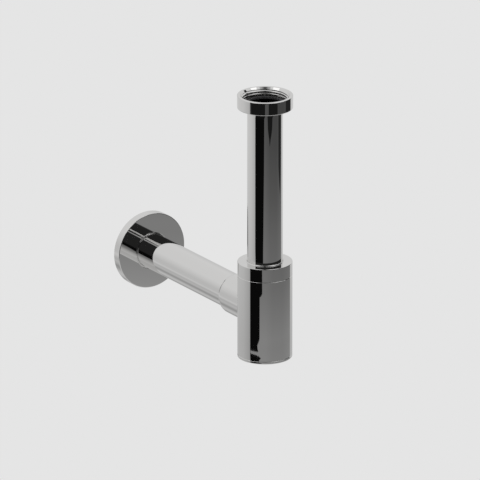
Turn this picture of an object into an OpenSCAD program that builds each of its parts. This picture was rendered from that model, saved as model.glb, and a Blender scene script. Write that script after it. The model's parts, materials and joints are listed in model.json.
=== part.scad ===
// Chromed bottle trap for a wash basin, G1 1/4 x 32.
// The origin is where the outlet's axis meets the wall, behind the rosette.
// +Y points into the wall, +Z up, and the bottle's axis stands at y = -reach.

/* [Layout] */
// Distance from the wall to the bottle's axis
reach = 195; // [170:1:240]
// Height of the union nut's top above the outlet's axis
drop = 201.4; // [160:0.1:260]
// Length of the outlet tube behind the wall's face
wall_stub = 12; // [8:1:14]

/* [Tubes] */
// Outside diameter of the inlet and the outlet tube
tube_d = 32; // [30:0.5:34]
// Wall of both tubes
tube_wall = 1; // [0.7:0.1:1.2]
// Gap between the inlet tube's end and the inside of the cleaning plug
dip_gap = 12.4; // [12:0.1:20]
// Chamfer on the cut ends of both tubes
tube_chamfer = 0.4; // [0.2:0.1:0.5]

/* [Union nut] */
// Wall of the union nut outside the roots of its G1 1/4 thread
nut_wall = 4; // [2.5:0.1:6]
// Height of the union nut
nut_h = 11.8; // [11.4:0.1:15]
// Thickness of the shoulder that pulls the flange up
nut_shoulder = 1.5; // [1.2:0.1:1.8]
// Radial gap between the flange and the roots of the thread
nut_thread_gap = 1.7; // [1.6:0.1:2]
// Step from the thread's roots to the plain bore round the flange
nut_relief = 0.5; // [0.4:0.1:0.8]
// Width of the countersink at the nut's mouth
nut_countersink = 1.3; // [0.8:0.1:1.6]
// Radius of the nut's outer edges
nut_edge = 0.6; // [0.3:0.1:0.8]
// Width of the flange turned out at the inlet tube's top
flange_w = 3.3; // [2.5:0.1:4]
// Thickness of that flange
flange_t = 1; // [0.8:0.1:1.2]
// Thickness of the slip ring under the flange
union_ring_t = 0.6; // [0.4:0.1:0.8]
// Thickness of the flat gasket on the flange
union_gasket_t = 1.6; // [1.2:0.1:2]

/* [Bottle] */
// Wall of the bottle between its turned ends
bottle_wall = 1.4; // [1:0.1:1.8]
// Height of the cap's top above the outlet's axis
cap_rise = 45; // [44:0.5:52]
// Depth of the bottle's bottom below the outlet's axis
bottle_drop = 45.2; // [42:0.1:60]
// Chamfer on each edge of the two seams
seam_chamfer = 0.2; // [0.1:0.1:0.4]
// Radius of the bottom's outer edge
foot_edge = 0.7; // [0.3:0.1:0.9]

/* [Cap] */
// Height of the cap
cap_h = 12.5; // [12.3:0.1:15]
// Thickness of the cap's flat top
cap_top_t = 2.2; // [1.8:0.1:2.4]
// Wall of the cap outside the roots of its thread
cap_wall = 2.3; // [1.6:0.1:4]
// Depth of the thread between the neck and the cap
cap_thread_h = 1; // [0.8:0.1:1.2]
// Radius of the cap's upper outer edge
cap_edge = 0.5; // [0.3:0.1:0.8]
// Width of the round lip that stands up round the tube
cap_lip_w = 0.7; // [0.5:0.1:1]
// Height of that lip above the cap's flat top
cap_lip_h = 0.7; // [0.5:0.1:1]
// Thickness of the slip ring under the cap
cap_ring_t = 1.2; // [0.8:0.1:1.4]
// Gap between the slip ring and the top of the bottle's neck
neck_top_gap = 1.1; // [0.9:0.1:1.6]
// Radial gap between the inlet tube and the neck's bore
neck_bore_gap = 1.6; // [1:0.1:2.4]
// Width of the cone seat at the neck's mouth
seat_w = 2.8; // [2:0.1:3.4]
// Width of the neck's flat top outside the cone seat
neck_land = 0.7; // [0.5:0.1:1.2]
// Width of the rubber cone seal's lower end
cap_seal_nose = 0.5; // [0.3:0.1:0.9]

/* [Cleaning plug] */
// Thickness of the plug's flush disc
plug_t = 2.4; // [2.2:0.1:3.5]
// Height of the plug's threaded boss
plug_boss_h = 5; // [4:0.1:6]
// Wall of that boss
plug_boss_wall = 2; // [1.6:0.1:2.4]
// Wall of the bottle's bottom end outside the roots of its thread
bottom_end_wall = 3.2; // [3:0.1:4]
// Depth of the thread between the bottom end and the plug
plug_thread_h = 0.8; // [0.6:0.1:1]
// Height of the bottle's thick bottom end
bottom_end_h = 9; // [8:0.5:11]
// Chamfer inside the bottle's bottom end, which holds the O-ring
plug_seat_w = 2.5; // [2.2:0.1:2.6]
// Step from the plug's seam up to the floor inside its boss
plug_floor = 0.4; // [0.2:0.1:1]
// Length of the coin slot under the plug
coin_slot_l = 26; // [20:1:32]
// Width of the coin slot
coin_slot_w = 2.6; // [2.2:0.1:3]
// Depth of the coin slot
coin_slot_depth = 1.2; // [0.8:0.1:1.4]

/* [Outlet socket] */
// Wall of the socket round the outlet tube
socket_wall = 2.5; // [2.3:0.1:4]
// Length of the socket's straight part outside the bottle
socket_l = 19.8; // [18:0.1:30]
// Length of the round shoulder
socket_nose_l = 5; // [3:0.5:6]
// Distance from the bottle's face to the stop inside the socket
socket_stop_l = 1.3; // [0.8:0.1:2]
// Gap between the stop and the outlet tube's end
tube_play = 5; // [4.8:0.1:6]
// Distance from the outlet tube's end to the first O-ring's middle
socket_seal_inset = 7.2; // [6.5:0.1:8]
// Distance between the middles of the two O-rings
socket_seal_pitch = 4.8; // [4:0.1:5.5]
// Cord diameter of the socket's O-rings
socket_cord_d = 1.9; // [1.6:0.1:2.1]

/* [Rosette] */
// Diameter of the rosette
rosette_d = 71; // [64:0.5:80]
// Depth of the rosette from its face to the wall
rosette_h = 8.4; // [7:0.1:12]
// Sheet thickness of the rosette
rosette_t = 1; // [0.8:0.1:1.2]
// Radius of the rosette's outer edge
rosette_edge = 0.6; // [0.4:0.1:1.6]
// Radius of the corner inside the rosette's dish
rosette_corner = 0.7; // [0.5:0.1:1]
// Depth of the lip turned in round the tube
rosette_lip_h = 3; // [2.6:0.1:3.4]
// Thickness of the grip ring behind the lip
grip_ring_t = 2.5; // [2:0.1:3]
// Width of the grip ring
grip_ring_w = 3; // [2:0.5:6]

/* [Clearances] */
// Radial gap between metal pieces that slide or turn
metal_gap = 0.3; // [0.2:0.05:0.35]
// Radial gap between a seal or ring and the tube that slides in it
seal_gap = 0.06; // [0.05:0.01:0.1]
// Gap between a seal and the seat that holds it
seat_gap = 0.05; // [0.03:0.01:0.08]

/* [Hidden] */
$fn = 96;
chrome = [0.80, 0.81, 0.83];
rubber = [0.10, 0.10, 0.11];
nylon = [0.90, 0.89, 0.85];

tube_r = tube_d / 2;
tube_bore_r = tube_r - tube_wall;
tube_hole_r = tube_r + metal_gap;
seal_bore_r = tube_r + seal_gap;

// Radii from the inlet tube out to the union nut and the bottle
flange_r = tube_r + flange_w;
nut_thread_r = flange_r + nut_thread_gap;
nut_relief_r = nut_thread_r - nut_relief;
nut_r = nut_thread_r + nut_wall;
neck_bore_r = tube_r + neck_bore_gap;
seat_r = neck_bore_r + seat_w;
neck_r = seat_r + neck_land;
cap_bore_r = neck_r + cap_thread_h + metal_gap;
bottle_r = cap_bore_r + cap_wall;
body_bore_r = bottle_r - bottle_wall;
plug_bore_r = bottle_r - bottom_end_wall;
plug_boss_r = plug_bore_r - metal_gap - plug_thread_h;

// Heights on the bottle's axis, from the outlet's axis
nut_bottom = drop - nut_h;
union_ring_z = nut_bottom + nut_shoulder;
flange_z = union_ring_z + union_ring_t;
gasket_z = flange_z + flange_t;
thread_z = gasket_z + union_gasket_t;
cap_bottom = cap_rise - cap_h;
cap_ring_z = cap_rise - cap_top_t - cap_ring_t;
neck_top = cap_ring_z - neck_top_gap;
bottom_seam = plug_t - bottle_drop;
plug_inside = bottom_seam + plug_floor;
dip_end = plug_inside + dip_gap;

// The plug's O-ring touches the boss, the disc and the 45 degree seat
plug_cord_r = (plug_seat_w + metal_gap + plug_thread_h - 2 * seat_gap) / (2 + sqrt(2));

// Distances from the bottle's axis along the outlet
socket_r = tube_hole_r + socket_wall;
socket_stop = bottle_r + socket_stop_l;
socket_shoulder = bottle_r + socket_l;
socket_mouth = socket_shoulder + socket_nose_l;
tube_seat = socket_stop + tube_play;
socket_cord_r = socket_cord_d / 2;
socket_seal_1 = tube_seat + socket_seal_inset;
socket_seal_2 = socket_seal_1 + socket_seal_pitch;
rosette_r = rosette_d / 2;

// Points on a quarter ellipse round c, from the axis x to the axis y of its size s
function quarter(c, s, n = 8) =
    [for (i = [0 : n]) c + [s[0] * cos(90 * i / n), s[1] * sin(90 * i / n)]];

// The same points in the other order
function reversed(points) = [for (i = [len(points) - 1 : -1 : 0]) points[i]];

module on_bottle_axis() {
    translate([0, -reach, 0]) children();
}

// Children stand on +Z, which becomes the way from the bottle's axis to the wall
module on_outlet_axis() {
    translate([0, -reach, 0]) rotate([-90, 0, 0]) children();
}

// A solid turned from its half section, given as [radius, height] points
module turned(points) {
    rotate_extrude() polygon(points);
}

module flat_ring(z, h, bore_r, outer_r) {
    translate([0, 0, z]) difference() {
        cylinder(h = h, r = outer_r);
        translate([0, 0, -1]) cylinder(h = h + 2, r = bore_r);
    }
}

module o_ring(z, cord_r, bore_r) {
    translate([0, 0, z])
        rotate_extrude() translate([bore_r + cord_r, 0]) circle(r = cord_r, $fn = 32);
}

// Tube with chamfered ends
module tube(z0, z1) {
    c = tube_chamfer;
    turned([[tube_bore_r, z0], [tube_r - c, z0], [tube_r, z0 + c],
            [tube_r, z1 - c], [tube_r - c, z1], [tube_bore_r, z1]]);
}

module union_nut() color(chrome) on_bottle_axis()
    turned(concat(
        [[tube_hole_r, nut_bottom]],
        [for (p = reversed(quarter([0, 0], [nut_edge, nut_edge], 6)))
            [nut_r - nut_edge + p[0], nut_bottom + nut_edge - p[1]]],
        quarter([nut_r - nut_edge, drop - nut_edge], [nut_edge, nut_edge], 6),
        [[nut_thread_r + nut_countersink, drop],
         [nut_thread_r, drop - nut_countersink],
         [nut_thread_r, thread_z],
         [nut_relief_r, thread_z],
         [nut_relief_r, union_ring_z],
         [tube_hole_r, union_ring_z]]));

module union_slip_ring() color(nylon) on_bottle_axis()
    flat_ring(union_ring_z, union_ring_t, seal_bore_r, flange_r);

module union_gasket() color(rubber) on_bottle_axis()
    flat_ring(gasket_z, union_gasket_t, tube_bore_r, flange_r);

module inlet_tube() color(chrome) on_bottle_axis() {
    c = tube_chamfer;
    turned([[tube_bore_r, dip_end], [tube_r - c, dip_end], [tube_r, dip_end + c],
            [tube_r, flange_z], [flange_r, flange_z],
            [flange_r, gasket_z], [tube_bore_r, gasket_z]]);
}

module cap_nut() color(chrome) on_bottle_axis() {
    c = seam_chamfer;
    turned(concat(
        [[cap_bore_r, cap_bottom], [bottle_r - c, cap_bottom],
         [bottle_r, cap_bottom + c]],
        quarter([bottle_r - cap_edge, cap_rise - cap_edge], [cap_edge, cap_edge], 4),
        [[tube_hole_r + cap_lip_w, cap_rise]],
        quarter([tube_hole_r, cap_rise], [cap_lip_w, cap_lip_h], 5),
        [[tube_hole_r, cap_rise - cap_top_t],
         [cap_bore_r, cap_rise - cap_top_t]]));
}

module cap_slip_ring() color(nylon) on_bottle_axis()
    flat_ring(cap_ring_z, cap_ring_t, seal_bore_r, seat_r);

// The cone leans at 45 degrees and lies in the seat at the neck's mouth
module cap_seal() color(rubber) on_bottle_axis() {
    cone_drop = seat_r - neck_top - seat_gap * sqrt(2);
    nose_r = seal_bore_r + cap_seal_nose;
    turned([[seal_bore_r, nose_r - cone_drop],
            [nose_r, nose_r - cone_drop],
            [seat_r, seat_r - cone_drop],
            [seat_r, cap_ring_z],
            [seal_bore_r, cap_ring_z]]);
}

module socket_outside() on_outlet_axis()
    turned(concat(
        [[0, 0], [socket_r, 0]],
        quarter([tube_hole_r + tube_chamfer, socket_shoulder],
                [socket_wall - tube_chamfer, socket_nose_l]),
        [[0, socket_mouth]]));

module socket_inside() on_outlet_axis() {
    cylinder(h = socket_stop + 1, r = tube_bore_r);
    translate([0, 0, socket_stop])
        cylinder(h = socket_mouth - socket_stop + 1, r = tube_hole_r);
    for (at = [socket_seal_1, socket_seal_2])
        translate([0, 0, at - socket_cord_r - seat_gap])
            cylinder(h = 2 * (socket_cord_r + seat_gap),
                     r = seal_bore_r + 2 * socket_cord_r + seat_gap);
}

module bottle_outside() on_bottle_axis() {
    c = seam_chamfer;
    turned([[0, bottom_seam], [bottle_r - c, bottom_seam],
            [bottle_r, bottom_seam + c], [bottle_r, cap_bottom - c],
            [bottle_r - c, cap_bottom], [neck_r, cap_bottom],
            [neck_r, neck_top - c], [neck_r - c, neck_top], [0, neck_top]]);
}

module bottle_inside() on_bottle_axis() {
    neck_step = body_bore_r - neck_bore_r;
    turned([[0, bottom_seam - 1],
            [plug_bore_r + plug_seat_w, bottom_seam - 1],
            [plug_bore_r + plug_seat_w, bottom_seam],
            [plug_bore_r, bottom_seam + plug_seat_w],
            [plug_bore_r, bottom_seam + bottom_end_h],
            [body_bore_r, bottom_seam + bottom_end_h + body_bore_r - plug_bore_r],
            [body_bore_r, cap_bottom - bottle_wall - neck_step / 2],
            [neck_bore_r, cap_bottom - bottle_wall],
            [neck_bore_r, neck_top - seat_w],
            [seat_r, neck_top],
            [seat_r, neck_top + 1],
            [0, neck_top + 1]]);
}

module bottle_body() color(chrome) difference() {
    union() {
        bottle_outside();
        socket_outside();
    }
    bottle_inside();
    socket_inside();
}

module bottom_plug() color(chrome) on_bottle_axis() difference() {
    c = seam_chamfer;
    bottom = -bottle_drop;
    boss_bore_r = plug_boss_r - plug_boss_wall;
    turned(concat(
        [[0, bottom]],
        [for (p = reversed(quarter([0, 0], [foot_edge, foot_edge], 6)))
            [bottle_r - foot_edge + p[0], bottom + foot_edge - p[1]]],
        [[bottle_r, bottom_seam - c], [bottle_r - c, bottom_seam],
         [plug_boss_r, bottom_seam],
         [plug_boss_r, bottom_seam + plug_boss_h - c],
         [plug_boss_r - c, bottom_seam + plug_boss_h],
         [boss_bore_r, bottom_seam + plug_boss_h],
         [boss_bore_r, plug_inside],
         [0, plug_inside]]));
    translate([-coin_slot_l / 2, -coin_slot_w / 2, bottom - 1])
        cube([coin_slot_l, coin_slot_w, coin_slot_depth + 1]);
}

module plug_o_ring() color(rubber) on_bottle_axis()
    o_ring(bottom_seam + plug_cord_r, plug_cord_r, plug_boss_r + seat_gap);

module socket_seal_inner() color(rubber) on_outlet_axis()
    o_ring(socket_seal_1, socket_cord_r, seal_bore_r);

module socket_seal_outer() color(rubber) on_outlet_axis()
    o_ring(socket_seal_2, socket_cord_r, seal_bore_r);

module outlet_tube() color(chrome) on_outlet_axis()
    tube(tube_seat, reach + wall_stub);

// A pressed dish, open to the wall, with a lip turned in round the tube
module rosette() color(chrome) on_outlet_axis() {
    face = reach - rosette_h;
    lip_r = tube_hole_r + rosette_t;
    outer = rosette_edge;
    inner = rosette_corner;
    turned(concat(
        [for (p = quarter([0, 0], [rosette_t, rosette_t], 5))
            [lip_r - p[0], face + rosette_t - p[1]]],
        reversed([for (p = quarter([0, 0], [outer, outer], 6))
            [rosette_r - outer + p[0], face + outer - p[1]]]),
        [[rosette_r, reach], [rosette_r - rosette_t, reach]],
        [for (p = quarter([0, 0], [inner, inner], 4))
            [rosette_r - rosette_t - inner + p[0], face + rosette_t + inner - p[1]]],
        [[lip_r, face + rosette_t], [lip_r, face + rosette_lip_h],
         [tube_hole_r, face + rosette_lip_h]]));
}

module rosette_grip_ring() color(rubber) on_outlet_axis()
    flat_ring(reach - rosette_h + rosette_lip_h, grip_ring_t,
              seal_bore_r, seal_bore_r + grip_ring_w);

union_nut();
union_slip_ring();
union_gasket();
inlet_tube();
cap_nut();
cap_slip_ring();
cap_seal();
bottle_body();
bottom_plug();
plug_o_ring();
socket_seal_inner();
socket_seal_outer();
outlet_tube();
rosette();
rosette_grip_ring();
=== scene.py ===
# %% [markdown]
# Chromed bottle trap, dressed in Blender.
#
# A bottle trap is the small round water seal under a washbasin: a union nut and a
# down tube at the top, a bottle in the middle, and a wall tube with its rosette at
# the side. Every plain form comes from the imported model, already in metres and in
# place. This script adds what a plain solid leaves out: screw threads, the brazed
# fillet at the socket, rolled lips, and finishes with some life in them. It starts
# by loading the frame and measuring it.

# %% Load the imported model
import json
import math

import bmesh
import bpy
from mathutils import Matrix, Vector


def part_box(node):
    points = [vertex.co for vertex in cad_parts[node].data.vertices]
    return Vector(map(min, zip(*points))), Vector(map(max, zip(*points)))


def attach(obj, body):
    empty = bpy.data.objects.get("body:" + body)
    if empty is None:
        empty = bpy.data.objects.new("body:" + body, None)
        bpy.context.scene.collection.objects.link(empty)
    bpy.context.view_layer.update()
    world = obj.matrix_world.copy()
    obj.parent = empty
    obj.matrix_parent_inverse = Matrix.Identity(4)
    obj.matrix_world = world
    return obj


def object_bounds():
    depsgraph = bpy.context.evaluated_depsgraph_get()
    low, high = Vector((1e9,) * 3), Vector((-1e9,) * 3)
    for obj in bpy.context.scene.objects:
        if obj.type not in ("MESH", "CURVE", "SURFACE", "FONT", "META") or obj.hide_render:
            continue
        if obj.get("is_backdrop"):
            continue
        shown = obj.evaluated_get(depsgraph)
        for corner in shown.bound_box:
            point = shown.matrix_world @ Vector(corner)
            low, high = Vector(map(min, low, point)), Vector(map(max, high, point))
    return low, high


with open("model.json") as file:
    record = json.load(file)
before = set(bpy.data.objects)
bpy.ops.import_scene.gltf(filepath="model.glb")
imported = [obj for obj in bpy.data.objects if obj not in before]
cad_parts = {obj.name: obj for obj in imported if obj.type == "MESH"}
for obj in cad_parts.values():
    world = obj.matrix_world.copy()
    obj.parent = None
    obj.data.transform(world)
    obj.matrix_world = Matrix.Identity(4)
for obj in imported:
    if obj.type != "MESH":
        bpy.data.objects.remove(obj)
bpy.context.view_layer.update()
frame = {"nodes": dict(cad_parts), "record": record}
nodes = frame["nodes"]

# %% [markdown]
# The sizes that the new pieces share are kept in one place. The upright axis of nut,
# tube and bottle stands 195 mm in front of the wall, and the wall tube lies on the
# Y axis. All lengths are written in millimetres and multiplied by `mm`.

# %% Shared sizes
mm = 0.001
reach = 195 * mm
upright = Vector((0, -reach, 0))

nut_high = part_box("union_nut")[1]
cap_low, cap_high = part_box("cap_nut")
print("nut radius in mm:", round(1000 * nut_high.x, 2))
print("cap from", round(1000 * cap_low.z, 2), "to", round(1000 * cap_high.z, 2))

# %% [markdown]
# The camera first. The photograph looks slightly down from the front left with a
# very long lens: the near and far ends of the tube keep almost the same width. So
# the camera stands 8 m away with a 669 mm lens. The aim point is a little above and
# left of the bottle, which puts the object where the photograph has it, with no
# lens shift at all.

# %% Camera
scene = bpy.context.scene
view_azimuth = math.radians(-33.42)
view_height = math.radians(19.28)
camera_distance = 8.0
picture_px = 480
px_per_mm = 1.1155
aim_left_px, aim_up_px = 24.88, 67.95
sensor_mm = 36

towards_camera = Vector((
    math.sin(view_azimuth) * math.cos(view_height),
    -math.cos(view_azimuth) * math.cos(view_height),
    math.sin(view_height),
))
turn = towards_camera.to_track_quat("Z", "Y")
camera_right = turn @ Vector((1, 0, 0))
camera_up = turn @ Vector((0, 1, 0))
aim = (
    upright
    - camera_right * (aim_left_px / px_per_mm * mm)
    + camera_up * (aim_up_px / px_per_mm * mm)
)

camera_data = bpy.data.cameras.new("camera")
camera_data.sensor_width = sensor_mm
camera_data.lens = sensor_mm * camera_distance / (picture_px / px_per_mm * mm)
camera_data.clip_start, camera_data.clip_end = 0.5, 60
camera = bpy.data.objects.new("camera", camera_data)
camera.location = aim + towards_camera * camera_distance
camera.rotation_mode = "QUATERNION"
camera.rotation_quaternion = turn
scene.collection.objects.link(camera)
scene.camera = camera
scene.view_settings.view_transform = "Standard"
print("lens in mm:", round(camera_data.lens, 1))

# %% [markdown]
# Chrome has no colour of its own, so most of this picture is made by what stands
# around the trap. Materials here are node trees, so small helpers come first. They
# make an empty tree, add a node with its inputs set, link two nodes, end a tree in
# its output node, add a glow, and turn a value into steps of grey.

# %% Helpers for node materials
def new_material(name):
    """An empty node material and its tree."""
    material = bpy.data.materials.new(name)
    material.use_nodes = True
    material.node_tree.nodes.clear()
    return material, material.node_tree


def add(tree, kind, **values):
    """A node of this kind, with its settings and inputs given by name."""
    node = tree.nodes.new(kind)
    for key, value in values.items():
        if hasattr(node, key):
            setattr(node, key, value)
        else:
            node.inputs[key.replace("_", " ")].default_value = value
    return node


def join(tree, source, output, target, socket):
    tree.links.new(source.outputs[output], target.inputs[socket])


def surface(tree, shader, output, kind="ShaderNodeOutputMaterial"):
    """The shader becomes the tree's surface."""
    join(tree, shader, output, add(tree, kind), "Surface")


def glowing(tree, source, output):
    """A surface that glows in the colour of a node's output."""
    glow = add(tree, "ShaderNodeEmission")
    join(tree, source, output, glow, "Color")
    surface(tree, glow, "Emission")


def grey(tone):
    return (tone, tone, tone, 1)


def grey_steps(tree, source, output, steps):
    """Greys that change evenly between (place, tone) steps along a value."""
    first, last = steps[0][0], steps[-1][0]
    span = add(tree, "ShaderNodeMapRange", From_Min=first, From_Max=last)
    node = add(tree, "ShaderNodeValToRGB")
    ramp = node.color_ramp
    ramp.elements[1].position = 1.0
    ramp.elements[0].color = grey(steps[0][1])
    ramp.elements[1].color = grey(steps[-1][1])
    for place, tone in steps[1:-1]:
        ramp.elements.new((place - first) / (last - first)).color = grey(tone)
    join(tree, source, output, span, "Value")
    join(tree, span, "Result", node, "Fac")
    return node


# %% [markdown]
# The light ground is the simple part: the world and a floor far below are the same
# pale grey for the camera. The Light Path node tells the camera's rays from mirrored
# ones, which see a slightly darker haze at the horizon.

# %% Pale ground: the world
ground_grey = 0.7835

world = bpy.data.worlds.new("studio")
scene.world = world
world.use_nodes = True
tree = world.node_tree
tree.nodes.clear()
sky = add(tree, "ShaderNodeBackground", Strength=1.0)
way = add(tree, "ShaderNodeTexCoord")
parts = add(tree, "ShaderNodeSeparateXYZ")
join(tree, way, "Generated", parts, "Vector")
haze = grey_steps(tree, parts, "Z", ((-1, 0.62), (0.0, 0.63), (0.42, 0.78), (1, 0.78)))
seen = add(tree, "ShaderNodeLightPath")
tone = add(tree, "ShaderNodeMix", data_type="RGBA")
tone.inputs["A"].default_value = grey(ground_grey)
join(tree, seen, "Is Glossy Ray", tone, "Factor")
join(tree, haze, "Color", tone, "B")
join(tree, tone, "Result", sky, "Color")
surface(tree, sky, "Background", "ShaderNodeOutputWorld")
print("ground grey", ground_grey)

# %% [markdown]
# Mirrored rays see painted shade on the floor: light just under the trap, a painted
# darker ring further out, and pale again beyond it. The floor glows in those greys
# for mirrored rays and in the ground's even grey for the camera, and is plain matt
# paint for the light that it gives back to the trap.

# %% Pale ground: the floor
def stage_object(name, bm, paint):
    """A finished stage mesh."""
    mesh = bpy.data.meshes.new(name)
    bm.to_mesh(mesh)
    bm.free()
    mesh.materials.append(paint)
    thing = bpy.data.objects.new(name, mesh)
    scene.collection.objects.link(thing)
    thing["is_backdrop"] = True
    return thing


floor_z = -0.62
floor_radius = 14
floor_paint, tree = new_material("floor_paint")
place = add(tree, "ShaderNodeTexCoord")
middle = add(tree, "ShaderNodeMapping")
middle.inputs["Location"].default_value = (0, reach, -floor_z)
distance = add(tree, "ShaderNodeVectorMath", operation="LENGTH")
join(tree, place, "Object", middle, "Vector")
join(tree, middle, "Vector", distance, "Vector")
# Painted shade for mirrored rays: greys by distance from the point under the trap.
painted_floor_shade = grey_steps(tree, distance, "Value", (
    (0.0, 0.64), (1.0, 0.60), (1.65, 0.53), (1.8, 0.57), (2.1, 0.66), (2.35, 0.70),
    (2.6, 0.69), (3.2, 0.63),
))
seen = add(tree, "ShaderNodeLightPath")
tone = add(tree, "ShaderNodeMix", data_type="RGBA")
tone.inputs["B"].default_value = grey(ground_grey)
glow = add(tree, "ShaderNodeEmission")
matt = add(tree, "ShaderNodeBsdfDiffuse")
matt.inputs["Color"].default_value = grey(ground_grey)
either = add(tree, "ShaderNodeMath", operation="MAXIMUM")
choice = add(tree, "ShaderNodeMixShader")
join(tree, painted_floor_shade, "Color", tone, "A")
join(tree, seen, "Is Camera Ray", tone, "Factor")
join(tree, tone, "Result", glow, "Color")
join(tree, seen, "Is Camera Ray", either, 0)
join(tree, seen, "Is Glossy Ray", either, 1)
join(tree, either, "Value", choice, "Fac")
join(tree, matt, "BSDF", choice, 1)
join(tree, glow, "Emission", choice, 2)
surface(tree, choice, "Shader")

bm = bmesh.new()
bmesh.ops.create_circle(bm, cap_ends=True, segments=96, radius=floor_radius)
bmesh.ops.translate(bm, verts=bm.verts, vec=(0, -reach, floor_z))
stage_object("floor", bm, floor_paint)
print("floor", -floor_z, "m below the wall tube")

# %% [markdown]
# The dark shapes in the chrome come from cards round the trap. The camera looks
# down by 19 degrees, so an upright wall of chrome mirrors what lies 19 degrees
# below the horizon, and a card at 0.7 m stands 0.25 m lower than the parts that
# show it. A card starts as a flat grid and is bent onto an upright cylinder: each
# row has its own height and its own left and right edge, in degrees from the
# camera's side, so an edge can slant. The cards are hidden from the camera.

# %% Curved cards
card_radius = 0.7


def round_trap(degrees, radius, height):
    """A point round the upright axis, at an angle from the camera's side."""
    angle = view_azimuth + math.radians(degrees)
    return upright + Vector(
        (math.sin(angle) * radius, -math.cos(angle) * radius, height)
    )


def hide_from_camera(thing):
    thing.visible_camera = False
    thing.visible_diffuse = False
    thing.visible_shadow = False


def bent_grid(rows, radius):
    """A grid bent onto an upright cylinder. Rows are (height, left, right)."""
    bm = bmesh.new()
    bm.loops.layers.uv.new("UVMap")
    bmesh.ops.create_grid(
        bm, x_segments=48, y_segments=len(rows) - 1, size=0.5, calc_uvs=True
    )
    for vert in bm.verts:
        height, left, right = rows[round((vert.co.y + 0.5) * (len(rows) - 1))]
        vert.co = round_trap(left + (right - left) * (vert.co.x + 0.5), radius, height)
    return bm


def card(name, rows, tones, darker=((0, 0), (1, 0)), radius=card_radius):
    """A curved card. Tones are (height, grey), and darker is how much is taken off
    them from the card's left edge, at 0, to its right edge, at 1."""
    paint, tree = new_material(name + "_paint")
    place = add(tree, "ShaderNodeTexCoord")
    split = add(tree, "ShaderNodeSeparateXYZ")
    across = add(tree, "ShaderNodeSeparateXYZ")
    join(tree, place, "Object", split, "Vector")
    join(tree, place, "UV", across, "Vector")
    upward = grey_steps(tree, split, "Z", tones)
    sideways = grey_steps(tree, across, "X", darker)
    both = add(tree, "ShaderNodeVectorMath", operation="SUBTRACT")
    join(tree, upward, "Color", both, 0)
    join(tree, sideways, "Color", both, 1)
    glowing(tree, both, "Vector")
    hide_from_camera(stage_object(name, bent_grid(rows, radius), paint))


# %% [markdown]
# On the left stands a narrow black flag that reaches up from below the bottle's
# height. Its right edge steps back to the left lower down, and a small ragged piece
# of it lies below, at its foot.

# %% Black flag
flag_black = 0.004

card(
    "black_flag",
    ((-0.2796, -63.5, -27), (-0.2765, -63.5, -30), (-0.2725, -63.5, -31.5),
     (-0.2685, -63.5, -25), (-0.2655, -63.5, -22), (-0.2225, -63.5, -21.5),
     (-0.2185, -63.5, -11), (-0.1927, -63.5, -11.5), (-0.180, -65.5, -11.5),
     (-0.159, -65.5, -10), (-0.128, -65.5, -8.5), (-0.097, -65.5, -6.5),
     (-0.045, -65.5, -5), (-0.0425, -59.5, 0), (-0.004, -59.5, 0)),
    ((-1, flag_black), (-0.046, flag_black), (-0.042, 0.011), (1, 0.011)),
)
card(
    "flag_foot",
    ((-0.2960, -60, -8), (-0.2906, -61, -14), (-0.2886, -62, -26),
     (-0.2868, -63, -20), (-0.2851, -63, -16), (-0.2836, -63, -24),
     (-0.2828, -63, -34), (-0.2824, -63, -60)),
    ((-1, flag_black), (1, flag_black)),
)
print("flag at", card_radius, "m")

# %% [markdown]
# Right of the flag is a wide front wall, nearly black at the top and lighter towards
# the floor, with two darker wedges that hang down from its top. A dark wall far
# behind it closes the front up to 37 degrees, seen from the nut, and a ceiling panel
# that is dark along its middle hangs above the front.

# %% Front wall and ceiling
front = (-64, 129)

card(
    "front_wall",
    ((floor_z, *front), (-0.30, *front), (-0.05, *front), (0.56, *front)),
    ((floor_z, 0.70), (-0.555, 0.68), (-0.474, 0.60), (-0.40, 0.50), (-0.34, 0.36),
     (-0.31, 0.31), (-0.2829, 0.287), (-0.2746, 0.29), (-0.2538, 0.26),
     (-0.2227, 0.218), (-0.1766, 0.185), (-0.135, 0.145), (-0.083, 0.113),
     (-0.019, 0.10), (-0.014, 0.03), (0.56, 0.03)),
    ((0, 0.0), (0.34, 0.005), (0.5, 0.03), (0.74, 0.034), (0.93, 0.01), (1, 0.0)),
    radius=card_radius + 0.02,
)
card(
    "front_top",
    ((-0.016, *front), (0.56, *front)),
    ((-0.016, 0.024), (0.56, 0.024)),
    radius=card_radius + 0.01,
)
card(
    "wedge_left",
    ((-0.0733, 29.5, 31), (-0.0661, 26, 36), (-0.0557, 18, 46), (-0.0454, 16, 48),
     (-0.0425, 14.5, 52), (-0.010, 14.5, 52)),
    ((-0.0733, 0.012), (-0.010, 0.012)),
)
card(
    "wedge_right",
    ((-0.128, 112, 113), (-0.097, 96, 118), (-0.045, 95, 120), (-0.0425, 93, 125),
     (-0.010, 93, 128)),
    ((-0.128, 0.025), (-0.010, 0.018)),
)
card(
    "far_wall",
    ((-0.4, *front), (2.435, *front)),
    ((-0.4, 0.024), (2.435, 0.024)),
    radius=3.0,
)
card(
    "ceiling",
    ((1.25, -22, 22), (2.97, -34, 34), (4.16, -48, 48), (6.2, -70, 70)),
    ((1.25, 0.48), (2.97, 0.52), (6.2, 0.52)),
    ((0, 0.0), (0.22, 0.14), (0.42, 0.42), (0.5, 0.44), (0.58, 0.42), (0.78, 0.14),
     (1, 0.0)),
    radius=1.6,
)
print("front wall", front[1] - front[0], "degrees wide")

# %% [markdown]
# Beside the flag the light falls off softly, because the flag also shades the paper
# behind it. A card that lets most of the light through does that: its paint is a
# transparent shader whose grey gets darker towards the flag.

# %% Fall-off beside the flag
veil_side = (-120, -60)

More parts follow.
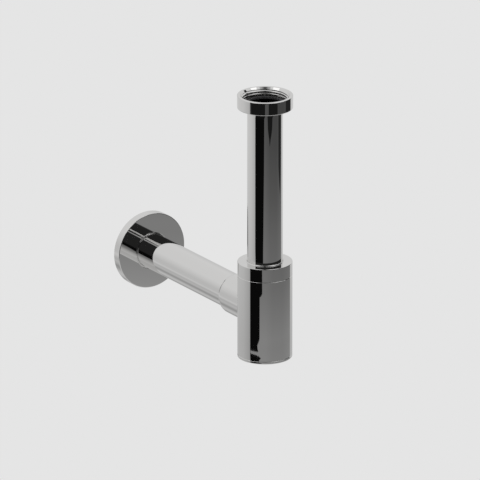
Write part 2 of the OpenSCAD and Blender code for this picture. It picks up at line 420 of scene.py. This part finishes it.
veil_paint, tree = new_material("veil_paint")
place = add(tree, "ShaderNodeTexCoord")
across = add(tree, "ShaderNodeSeparateXYZ")
veil = add(tree, "ShaderNodeBsdfTransparent")
join(tree, place, "UV", across, "Vector")
shade = grey_steps(tree, across, "X", (
    (0, 1.0), (0.35, 0.97), (0.6, 0.88), (0.8, 0.80), (1, 0.66),
))
join(tree, shade, "Color", veil, "Color")
surface(tree, veil, "BSDF")
hide_from_camera(stage_object(
    "veil", bent_grid(((-0.33, *veil_side), (0.1, *veil_side)), card_radius - 0.01),
    veil_paint,
))
print("veil", veil_side[1] - veil_side[0], "degrees wide")

# %% [markdown]
# Two soft boxes hang high at the sides. They draw the bright patches in the mouth of
# the nut. Each is a flat grid, turned to face the trap.

# %% Soft boxes
box_distance = 2


def soft_box(name, turn_by, height, width, depth, tone):
    """A flat glowing panel that faces the trap. Turn and height are in degrees."""
    paint, tree = new_material(name + "_paint")
    surface(tree, add(tree, "ShaderNodeEmission", Strength=tone), "Emission")
    bm = bmesh.new()
    bmesh.ops.create_grid(bm, x_segments=1, y_segments=1, size=0.5)
    bmesh.ops.scale(bm, verts=bm.verts, vec=(width, depth, 1))
    lift = math.radians(height)
    spot = round_trap(
        turn_by, box_distance * math.cos(lift), box_distance * math.sin(lift)
    )
    facing = (upright - spot).to_track_quat("-Z", "Y").to_matrix()
    bmesh.ops.rotate(bm, verts=bm.verts, matrix=facing)
    bmesh.ops.translate(bm, verts=bm.verts, vec=spot)
    hide_from_camera(stage_object(name, bm, paint))


soft_box("soft_box_right", 74, 58, 0.95, 0.55, 1.35)
soft_box("soft_box_left", -72, 58, 1.05, 0.6, 1.3)
print("soft boxes at", box_distance, "m")

# %% [markdown]
# A mat with two soft darker stripes lies on the floor behind the trap. Mirrored in
# the wall tube, a stripe is the thin dark line low on it.

# %% Floor mat
mat_x, mat_y = 1.24, 0.75
mat_middle = (0.0, 0.80, floor_z + 0.01)

mat_paint, tree = new_material("mat_paint")
place = add(tree, "ShaderNodeTexCoord")
split = add(tree, "ShaderNodeSeparateXYZ")
join(tree, place, "Object", split, "Vector")
stripes = grey_steps(tree, split, "X", (
    (-0.62, 0.60), (-0.45, 0.50), (-0.33, 0.36), (-0.22, 0.42), (-0.11, 0.56),
    (0.0, 0.60), (0.14, 0.50), (0.27, 0.33), (0.42, 0.45), (0.62, 0.60),
))
glowing(tree, stripes, "Color")
bm = bmesh.new()
bmesh.ops.create_grid(bm, x_segments=1, y_segments=1, size=0.5)
bmesh.ops.scale(bm, verts=bm.verts, vec=(mat_x, mat_y, 1))
bmesh.ops.translate(bm, verts=bm.verts, vec=mat_middle)
hide_from_camera(stage_object("floor_mat", bm, mat_paint))
print("floor mat", mat_x, "by", mat_y, "m")

# %% [markdown]
# Polished chrome plate is a mirror, but never a perfect one. Buffing leaves very
# slow waves and faint hair lines in the brass under it, and fingers leave the
# gloss a little uneven. So the roughness moves between two small values with a
# noise texture, and a weak bump bends the reflections a little.

# %% Polished chrome
def set_range(node, low, high, end):
    """The From or To limits of a Map Range node."""
    node.inputs[end + " Min"].default_value = low
    node.inputs[end + " Max"].default_value = high


def chrome_plate(name, base, smoothest, dullest, wave):
    material, tree = new_material(name)
    place = add(tree, "ShaderNodeTexCoord")
    body = add(tree, "ShaderNodeBsdfPrincipled", Metallic=1.0)
    body.inputs["Base Color"].default_value = (*base, 1)
    cloud = add(tree, "ShaderNodeTexNoise", Scale=60.0, Detail=3.0)
    gloss = add(tree, "ShaderNodeMapRange")
    set_range(gloss, 0.3, 0.7, "From")
    set_range(gloss, smoothest, dullest, "To")
    slow = add(tree, "ShaderNodeTexNoise", Scale=38.0, Detail=1.0)
    bump = add(tree, "ShaderNodeBump", Strength=wave, Distance=0.00002)
    for texture in (cloud, slow):
        join(tree, place, "Object", texture, "Vector")
    join(tree, cloud, "Fac", gloss, "Value")
    join(tree, gloss, "Result", body, "Roughness")
    join(tree, slow, "Fac", bump, "Height")
    join(tree, bump, "Normal", body, "Normal")
    surface(tree, body, "BSDF")
    return material


chrome = chrome_plate(
    "polished_chrome", (0.742, 0.738, 0.730), smoothest=0.008, dullest=0.022, wave=0.10
)
print("chrome:", len(chrome.node_tree.nodes), "nodes")

# %% [markdown]
# The hidden rings matter when the joints move and the trap is looked at from the
# ends. Seal rubber is matt black with a fine grain from its mould; the slip rings
# are plain off-white nylon.

# %% Rubber and nylon
def moulded(name, base, roughness, grain, depth):
    material, tree = new_material(name)
    place = add(tree, "ShaderNodeTexCoord")
    body = add(tree, "ShaderNodeBsdfPrincipled", Roughness=roughness)
    speck = add(tree, "ShaderNodeTexNoise", Scale=grain, Detail=4.0)
    shade = add(tree, "ShaderNodeMapRange")
    set_range(shade, 0.85, 1.12, "To")
    colour = add(tree, "ShaderNodeVectorMath", operation="SCALE")
    colour.inputs[0].default_value = base
    bump = add(tree, "ShaderNodeBump", Strength=0.4, Distance=depth)
    join(tree, place, "Object", speck, "Vector")
    join(tree, speck, "Fac", shade, "Value")
    join(tree, shade, "Result", colour, "Scale")
    join(tree, colour, "Vector", body, "Base Color")
    join(tree, speck, "Fac", bump, "Height")
    join(tree, bump, "Normal", body, "Normal")
    surface(tree, body, "BSDF")
    return material


rubber = moulded(
    "seal_rubber", (0.045, 0.045, 0.047), roughness=0.55, grain=2600.0, depth=0.00004
)
nylon = moulded(
    "slip_nylon", (0.80, 0.79, 0.75), roughness=0.42, grain=900.0, depth=0.00002
)
print("moulded finishes:", rubber.name, nylon.name)

# %% [markdown]
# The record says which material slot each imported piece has. The piece's mesh stays
# as it is, and only the materials in its slots are exchanged.

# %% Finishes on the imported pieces
finishes = {"chrome": chrome, "rubber": rubber, "nylon": nylon}
for part in frame["record"]["subparts"]:
    for holder in nodes[part["node"]].material_slots:
        holder.material = finishes[part["material_slot"]]

# %% [markdown]
# Every new piece ends in the same way, so that is a helper: its faces are turned
# outwards, its sharp edges are marked by their angle and the rest is shaded smooth,
# and it rides on the body that carries it.

# %% A helper for new pieces
def add_piece(name, bm, body, slot, smooth_angle=40):
    """A finished piece: named, shaded smooth, in its finish, riding on its body."""
    bmesh.ops.recalc_face_normals(bm, faces=bm.faces)
    for edge in bm.edges:
        edge.smooth = edge.calc_face_angle(0) < math.radians(smooth_angle)
    for face in bm.faces:
        face.smooth = True
    mesh = bpy.data.meshes.new(name)
    bm.to_mesh(mesh)
    bm.free()
    mesh.materials.append(finishes[slot])
    piece = bpy.data.objects.new(name, mesh)
    scene.collection.objects.link(piece)
    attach(piece, body)
    print(name, "triangles:", sum(len(p.vertices) - 2 for p in mesh.polygons))


# %% [markdown]
# The screw threads. A plain solid has none, so each is a ridge that climbs round
# the upright axis. The operator for it is spin with a step upwards at every turn of
# the outline. The ridge starts below its place and ends above it, and both ends are
# then cut off level, which leaves the thin run-in that a cut thread has.

# %% A helical ridge
steps_a_turn = 96


def thread_ridge(root, crest, pitch, low, high, phase=0.0, flank=0.52, sunk=0.35):
    """A helical ridge from its root radius to its crest radius, all in mm. Flank is
    how much the ridge narrows, on each side, for each mm of its height."""
    inward = -1 if crest < root else 1
    tall = abs(crest - root)
    foot = 0.47 * pitch
    tip = max(foot - flank * tall, 0.08)
    side = [
        (root + inward * tall * k / 6, foot + (tip - foot) * k / 6) for k in range(7)
    ]
    side[-1] = (crest, tip * 0.55)
    side.insert(-1, (crest - inward * 0.08 * tall, tip * 0.9))
    outline = [(root - inward * sunk, foot)] + side
    outline = outline + [(r, -h) for r, h in reversed(outline)]

    bottom = low - foot - 0.02
    steps = math.ceil((high + foot + 0.02 - bottom) / pitch * steps_a_turn)
    bm = bmesh.new()
    ring = [
        bm.verts.new(upright + Vector((r, 0, bottom + h)) * mm) for r, h in outline
    ]
    for i in range(len(ring)):
        bm.edges.new((ring[i - 1], ring[i]))
    bmesh.ops.rotate(
        bm, verts=bm.verts, cent=upright, matrix=Matrix.Rotation(phase, 3, "Z")
    )
    bmesh.ops.spin(
        bm, geom=bm.verts[:] + bm.edges[:], cent=upright, axis=(0, 0, 1),
        dvec=(0, 0, pitch * mm / steps_a_turn), angle=math.tau * steps / steps_a_turn,
        steps=steps, use_merge=False,
    )
    for level, outer in ((low, -1), (high, 1)):
        bmesh.ops.bisect_plane(
            bm, geom=bm.verts[:] + bm.edges[:] + bm.faces[:], dist=1e-7,
            plane_co=(0, 0, level * mm), plane_no=(0, 0, outer), clear_outer=True,
        )
        rim = [edge for edge in bm.edges if edge.is_boundary]
        bmesh.ops.holes_fill(bm, edges=rim)
    return bm


# %% [markdown]
# The union nut's thread is the basin waste's pipe thread, 11 turns to the inch. Its
# mouth has a 45 degree countersink, so the ridge's top is pushed out onto that cone.

# %% Thread of the union nut
nut_top = round(nut_high.z / mm, 1)
nut_root, nut_crest = 21.0, 19.55
inch = 25.4
mouth = 1.3
bm = thread_ridge(nut_root, nut_crest, inch / 11, nut_top - 7.1, nut_top - mouth)
for vert in bm.verts:
    out = vert.co - upright
    flat = Vector((out.x, out.y, 0))
    least = (nut_root - (nut_top - mouth) + out.z / mm) * mm
    if flat.length < least:
        vert.co += flat.normalized() * (least - flat.length)
add_piece("union_nut_thread", bm, "union", "chrome")

# %% [markdown]
# The cap's thread lies in the gaps of the neck's, half a turn on, and so does the
# cleaning plug's in the bottle's foot. They show when the cap or plug is unscrewed.

# %% Threads of neck, cap, bottle foot and plug
cap_foot = round(cap_low.z / mm, 1)
neck_top = cap_foot + 8.0
plug_seam = -42.8
cap_pitch, plug_pitch = 2.0, 1.5
neck_root, neck_crest, cap_root, cap_crest = 21.1, 22.0, 22.4, 21.45
foot_root, foot_crest, plug_root, plug_crest = 21.5, 20.75, 20.4, 21.1

for name, body, root, crest, pitch, low, high, phase in (
    ("neck_thread", "bottle", neck_root, neck_crest, cap_pitch,
     cap_foot + 1.2, neck_top - 0.6, 0.0),
    ("cap_thread", "cap", cap_root, cap_crest, cap_pitch,
     cap_foot + 0.5, neck_top + 0.4, math.pi),
    ("bottle_foot_thread", "bottle", foot_root, foot_crest, plug_pitch,
     plug_seam + 2.7, plug_seam + 8.4, 0.0),
    ("plug_thread", "plug", plug_root, plug_crest, plug_pitch,
     plug_seam + 2.3, plug_seam + 4.7, math.pi),
):
    bm = thread_ridge(root, crest, pitch, low, high, phase=phase)
    add_piece(name, bm, body, "chrome")

# %% [markdown]
# The socket is brazed to the bottle, and the seam is ground to a small hollow
# round. Its shape is the one that a ball leaves when it rolls along the corner: the
# ball's middle stays one radius outside both cylinders, so each section is an arc
# from the bottle's surface to the socket's. A grid has its rows laid on those arcs,
# and its back is sunk into the metal.

# %% Brazed fillet round the socket
bottle_r, socket_r = 24.7, 18.8
ball = 1.7
sink = 0.3
arc_rows = 10


def on_fillet(angle, row):
    """A point of the fillet, in mm from the upright axis, for a row of the grid."""
    round_socket = Vector((math.sin(angle), 0, math.cos(angle)))
    if row == 0:
        inner = round_socket * (socket_r - sink)
        inner.y = math.sqrt((bottle_r - sink) ** 2 - inner.x ** 2)
        return inner
    middle = round_socket * (socket_r + ball)
    middle.y = math.sqrt((bottle_r + ball) ** 2 - middle.x ** 2)
    round_bottle = Vector((middle.x, middle.y, 0)).normalized()
    share = min(max((row - 2) / (arc_rows - 1), 0), 1)
    reach_in = ball + sink if row in (1, arc_rows + 2) else ball
    return middle - round_bottle.slerp(round_socket, share) * reach_in


bm = bmesh.new()
bmesh.ops.create_grid(bm, x_segments=160, y_segments=arc_rows + 2, size=0.5)
for vert in bm.verts:
    row = round((vert.co.y + 0.5) * (arc_rows + 2))
    vert.co = upright + on_fillet((vert.co.x + 0.5) * math.tau, row) * mm
bmesh.ops.remove_doubles(bm, verts=bm.verts, dist=1e-6)
bmesh.ops.bridge_loops(bm, edges=[edge for edge in bm.edges if edge.is_boundary])
add_piece("socket_fillet", bm, "bottle", "chrome")

# %% [markdown]
# Where a tube leaves the cap, the socket or the rosette, the lip is burnished down
# onto it, so that only a hair of a gap is left. A thin rolled bead closes the drawn
# gap: a small circle spun once round the axis.

# %% Rolled beads at the three lips
bead_section_r, bead_ring_r = 0.29, 16.325
cap_lip, socket_lip, rosette_lip = 45.42, 49.28, 186.85
up, inward, sideways = Vector((0, 0, 1)), Vector((0, 1, 0)), Vector((1, 0, 0))


def rolled_bead(name, body, lip, spin_axis):
    """A ring of round section. Lip is its distance along the axis, in mm."""
    bm = bmesh.new()
    bmesh.ops.create_circle(bm, segments=16, radius=bead_section_r * mm)
    side = sideways.cross(spin_axis)
    facing = Matrix((sideways, spin_axis, side)).transposed()
    bmesh.ops.rotate(bm, verts=bm.verts, matrix=facing)
    start = (spin_axis * lip + sideways * bead_ring_r) * mm
    bmesh.ops.translate(bm, verts=bm.verts, vec=upright + start)
    bmesh.ops.spin(
        bm, geom=bm.verts[:] + bm.edges[:], cent=upright, axis=spin_axis,
        angle=math.tau, steps=120, use_merge=True,
    )
    add_piece(name, bm, body, "chrome")


rolled_bead("cap_lip_bead", "cap", cap_lip, up)
rolled_bead("socket_lip_bead", "bottle", socket_lip, inward)
rolled_bead("rosette_lip_bead", "rosette", rosette_lip, inward)

# %% Sizes
low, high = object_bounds()
